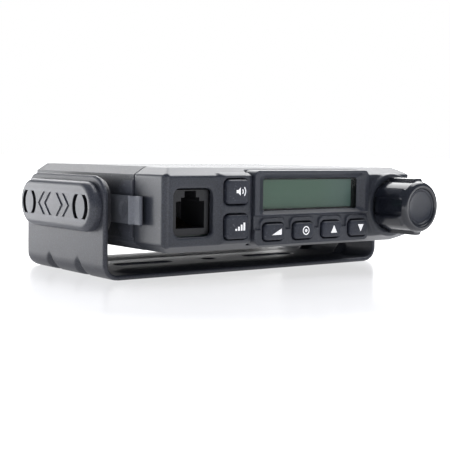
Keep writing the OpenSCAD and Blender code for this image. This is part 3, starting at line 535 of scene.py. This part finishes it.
def latch_piece(side):
    """The spring leaf: a pressed strip with a round dimple, a cross ridge and a finger lip."""
    outer = [(-6, -51.5), (-9, -51.5), (-30.4, -51.5), (-30.9, -51.56), (-31.3, -51.85), (-31.8, -52.45),
             (-32.1, -52.66), (-32.45, -52.62), (-32.8, -52.3), (-33.5, -51.75), (-34, -51.6),
             (-34.6, -51.55), (-36.4, -51.55), (-37, -51.7), (-37.5, -52.1), (-37.8, -52.4)]
    inner = [(-37.8, -51.45), (-37.3, -50.9), (-36.9, -50.68), (-36.4, -50.6), (-34.2, -50.6),
             (-33.7, -50.66), (-33.2, -50.85), (-32.7, -51.35), (-32.2, -51.6), (-31.9, -51.45),
             (-31.6, -51.1), (-31.2, -50.93), (-30.6, -50.9), (-9, -50.9), (-6, -50.9)]

    def dense(path):
        """The path with points about 0.45 mm apart, so that the dimple can bend it."""
        out = [path[0]]
        for (y0, x0), (y1, x1) in zip(path, path[1:]):
            steps = max(1, int(abs(y1 - y0) / 0.45))
            out += [(y0 + (y1 - y0) * k / steps, x0 + (x1 - x0) * k / steps) for k in range(1, steps + 1)]
        return out

    outline = dense(outer) + dense(inner)
    flat_r, fade, push, levels = 1.5, 1.5, 0.6, 28
    rings = []
    for k in range(levels + 1):
        z = LEAF_LOW + (LEAF_HIGH - LEAF_LOW) * k / levels
        ring = []
        for y, x in outline:
            away = (math.hypot(y - DIMPLE_Y, z - LEAF_Z) - flat_r) / fade
            ring.append((x + push * (1 - smooth(away)), y, z))
        rings.append(ring)
    leaf = from_points("latch", *loft(rings))
    peg = prism(circle(PEG_Y, LEAF_Z, 0.9, 24), lambda u, v, x: (-x, u, v), 49, 54)
    mesh = on_side(bevelled(cut(leaf, peg), 0.13, 2, 50), side)
    node = "right_latch" if side > 0 else "left_latch"
    dress(node + "_fine", mesh, "spring_steel", node, (node,), 40)


# ---------------------------------------------------------------- keys and their marks

def crown(u, v, half_w, half_h, front, rise):
    """How far forward a key's crowned face is at (u, v)."""
    return front + rise * 0.5 * ((u / half_w) ** 2 + (v / half_h) ** 2)


def key_piece(node, x, z, w, h, front, flange, edge, rise):
    """A moulded key: straight sides, a rounded rim and a slightly crowned face."""
    rings = []
    for y in (flange + 0.8, flange + 0.05, front + edge + rise + 0.05):
        rings.append([(x + u, y, z + v) for u, v in rounded(w, h, 1.3)])
    for k in range(1, 7):
        a = math.radians(90 * k / 6)
        inset = edge * (1 - math.cos(a))
        out = rounded(w - 2 * inset, h - 2 * inset, 1.3 - inset * 0.75)
        rings.append([(x + u, crown(u, v, w / 2, h / 2, front, rise) + edge * (1 - math.sin(a)), z + v)
                      for u, v in out])
    for scale in (0.8, 0.55, 0.3, 0.08):
        out = [(u * scale, v * scale) for u, v in rounded(w - 2 * edge, h - 2 * edge, 1.3 - edge * 0.75)]
        rings.append([(x + u, crown(u, v, w / 2, h / 2, front, rise), z + v) for u, v in out])
    verts, faces = loft(rings)
    make(node + "_fine", verts, faces, "key_rubber", node, (node,), 50)


def mark(name, node, centre, size, front, rise, shapes):
    """Printed marks on a key: thin closed shapes that follow its crown. Shapes are outlines in mm."""
    x0, z0 = centre
    w, h = size
    verts, faces = [], []
    for outline in shapes:
        n, start = len(outline), len(verts)
        for lift in (0.05, -0.035):
            for u, v in outline:
                verts.append((x0 + u, crown(u, v, w / 2, h / 2, front, rise) + lift, z0 + v))
        faces += [tuple(range(start, start + n)), tuple(start + n + i for i in range(n))]
        faces += [(start + i, start + (i + 1) % n, start + n + (i + 1) % n, start + n + i) for i in range(n)]
    make(name, verts, faces, "legend", node)


def bar(u0, v0, u1, v1):
    """A rectangle between two corners."""
    return [(u0, v0), (u1, v0), (u1, v1), (u0, v1)]


def ringed(cx, cz, r, width, start=0, end=360, steps=28):
    """A curved stroke split into short quads that share edges."""
    out = []
    for k in range(steps):
        a = math.radians(start + (end - start) * k / steps)
        b = math.radians(start + (end - start) * (k + 1) / steps)
        out.append([(cx + (r + s) * math.cos(t), cz + (r + s) * math.sin(t))
                    for s, t in ((-width / 2, a), (width / 2, a), (width / 2, b), (-width / 2, b))])
    return out


def column_mark(node, z, shapes):
    """A mark on one of the two keys beside the display."""
    mark(node + "_mark", node, (-25.0, z), COLUMN_SIZE, COLUMN_FRONT, COLUMN_RISE, shapes)


def row_mark(node, x, shapes):
    """A mark on one of the four keys under the display."""
    mark(node + "_mark", node, (x, ROW_Z), ROW_SIZE, ROW_FRONT, ROW_RISE, shapes)


def keys():
    """The two column keys, the four display keys and a mark on each."""
    for node, z in (("upper_key", 27.25), ("lower_key", 16.9)):
        key_piece(node, COLUMN_X, z, *COLUMN_SIZE, COLUMN_FRONT, -45.9, 0.75, COLUMN_RISE)
    for i, node in enumerate(("left_menu_key", "right_menu_key", "up_key", "down_key")):
        x = ROW_X + ROW_STEP * i
        key_piece(node, x, ROW_Z, *ROW_SIZE, ROW_FRONT, -44.5, 0.7, ROW_RISE)
    # upper key: a loudspeaker and sound waves; lower key: rising signal bars
    speaker = [[(-1.6, -0.45), (-0.95, -0.45), (-0.1, -1.2), (-0.1, 1.2), (-0.95, 0.45), (-1.6, 0.45)]]
    waves = ringed(-0.1, 0, 0.95, 0.32, -42, 42, 8) + ringed(-0.1, 0, 1.85, 0.32, -42, 42, 10)
    column_mark("upper_key", 27.35, speaker + waves)
    bars = [bar(-1.9 + 1.0 * k, -1.15, -1.25 + 1.0 * k, -0.55 + 0.58 * k) for k in range(4)]
    column_mark("lower_key", 16.95, bars)
    # display keys: a gain wedge, a ring with a dot, and two arrows
    row_mark("left_menu_key", -12.1, [[(-1.9, -0.9), (1.9, -0.9), (1.9, 1.0)]])
    row_mark("right_menu_key", -0.3, ringed(0, 0, 1.2, 0.34) + [circle(0, 0, 0.5, 16)])
    row_mark("up_key", 11.5, [[(-1.3, -1.15), (1.3, -1.15), (0, 1.25)]])
    row_mark("down_key", 23.3, [[(1.25, 1.15), (-1.25, 1.15), (0, -1.2)]])


# ---------------------------------------------------------------- knob

def polar(profile, steps, radius):
    """Rings around the knob's axis: radius(r, y, angle) may change a profile point's radius."""
    rings = []
    for r, y in profile:
        ring = []
        for k in range(steps):
            a = 2 * math.pi * k / steps
            q = radius(r, y, a)
            ring.append((KNOB_X + q * math.sin(a), y, KNOB_Z + q * math.cos(a)))
        rings.append(ring)
    return rings


def knob():
    """The volume knob: six long grip lobes that fade into a turned front ring around a dished face."""
    barrel_r, lobe_rise, lobe_pitch, lobe_half = 8.2, 1.0, 60, 11.2

    def lobed(r, y, a):
        """A profile radius with a lobe's height added where a lobe stands."""
        if r < barrel_r or y < -60.95:
            return r
        turn = (math.degrees(a) + lobe_pitch / 2) % lobe_pitch - lobe_pitch / 2
        width = 1 - smooth((abs(turn) - lobe_half) / 1.5)
        length = 1 - smooth((-y - 60.15) / 0.7)
        return r + lobe_rise * width * length

    profile = [(3.1, -49.15), (6.9, -49.12), (8.0, -49.1), (8.22, -49.2), (8.29, -49.5)]
    profile += [(8.3, -50 - k) for k in range(11)]
    profile += [(8.3, -60.15 - 0.1 * k) for k in range(8)]
    profile += [(8.27, -60.98), (8.18, -61.3), (8.04, -61.6), (7.84, -61.88), (7.58, -62.1), (7.3, -62.23),
                (7.0, -62.3), (6.6, -62.28), (6.3, -62.2), (6.12, -62.05), (6.05, -61.8), (6.05, -61.3),
                (6.05, -60.75)]
    verts, faces = loft(polar(profile, 240, lobed))
    make("volume_knob_fine", verts, faces, "knob_gloss", "knob", ("volume_knob",), 40)
    dish = [(0.02, -61.14), (1.0, -61.14), (2.0, -61.17), (3.0, -61.22), (3.9, -61.30), (4.6, -61.42),
            (4.95, -61.52), (5.05, -61.54), (5.12, -61.46), (5.2, -61.44), (5.28, -61.50), (5.36, -61.64),
            (5.5, -61.80), (5.68, -61.90), (5.82, -61.92), (5.92, -61.85), (5.95, -61.60), (5.95, -60.75)]
    verts, faces = loft(polar(dish, 120, lambda r, y, a: r))
    make("knob_insert_fine", verts, faces, "knob_dish", "knob", ("knob_insert",), 40)


# ---------------------------------------------------------------- screws

def screws(node, body, places, depth=0.5):
    """Screws with rounded heads and a cross recess. Places are (centre, axis) in millimetres."""
    mesh = bevelled(clean(node), 0.12, 2)
    arm, half = 1.25, 0.28
    cross = [(half, arm), (-half, arm), (-half, half), (-arm, half), (-arm, -half), (-half, -half),
             (-half, -arm), (half, -arm), (half, -half), (arm, -half), (arm, half), (half, half)]
    tools = []
    for centre, axis in places:
        c, n = Vector(centre), Vector(axis)
        u = n.orthogonal().normalized()
        v = n.cross(u)
        tools.append(prism(cross, lambda a, b, s: tuple(c + u * a + v * b + n * s), -depth, 1))
    dress(node + "_fine", cut(mesh, joined(tools)), SLOT[node], body, (node,))


def fasteners():
    """The screws that show from outside."""
    screws("rear_screws", "radio", [((x, 32.5, z), (0, 1, 0)) for x in (-43, 43) for z in (16, 29)])
    screws("cover_screws", "radio", [((x, y, 9.5), (0, 0, -1)) for x in (-42, 42) for y in (-24, 24)])
    screws("bezel_screws", "radio", [((x, -33.3, 9.5), (0, 0, -1)) for x in (-30, 30)], 0.4)


# ---------------------------------------------------------------- the rest

def stage():
    """A wide floor, which isn't part of the object."""
    mesh = bpy.data.meshes.new("floor")
    mesh.from_pydata([(-6, -6, 0), (6, -6, 0), (6, 6, 0), (-6, 6, 0)], [], [(0, 1, 2, 3)])
    floor = bpy.data.objects.new("floor", mesh)
    bpy.context.collection.objects.link(floor)
    mesh.materials.append(floor_finish())


def finish_nodes():
    """Every CAD node takes its finish."""
    for name, node in nodes.items():
        node.data.materials.clear()
        node.data.materials.append(FINISH[SLOT[name]])


camera()
world()
area("softbox_top", (0.42, 0.0, 0.7), (0.6, 0.6), 5.5)
area("softbox_back", (0.5, 0.75, 0.6), (1.1, 0.9), 10.0)
area("softbox_left", (-0.5, 0.85, 0.14), (0.5, 0.4), 3.4)
stage()
bpy.context.scene.view_settings.view_transform = "Standard"
bodywork()
cap_piece(-1)
cap_piece(1)
latch_piece(-1)
latch_piece(1)
keys()
knob()
fasteners()
finish_nodes()
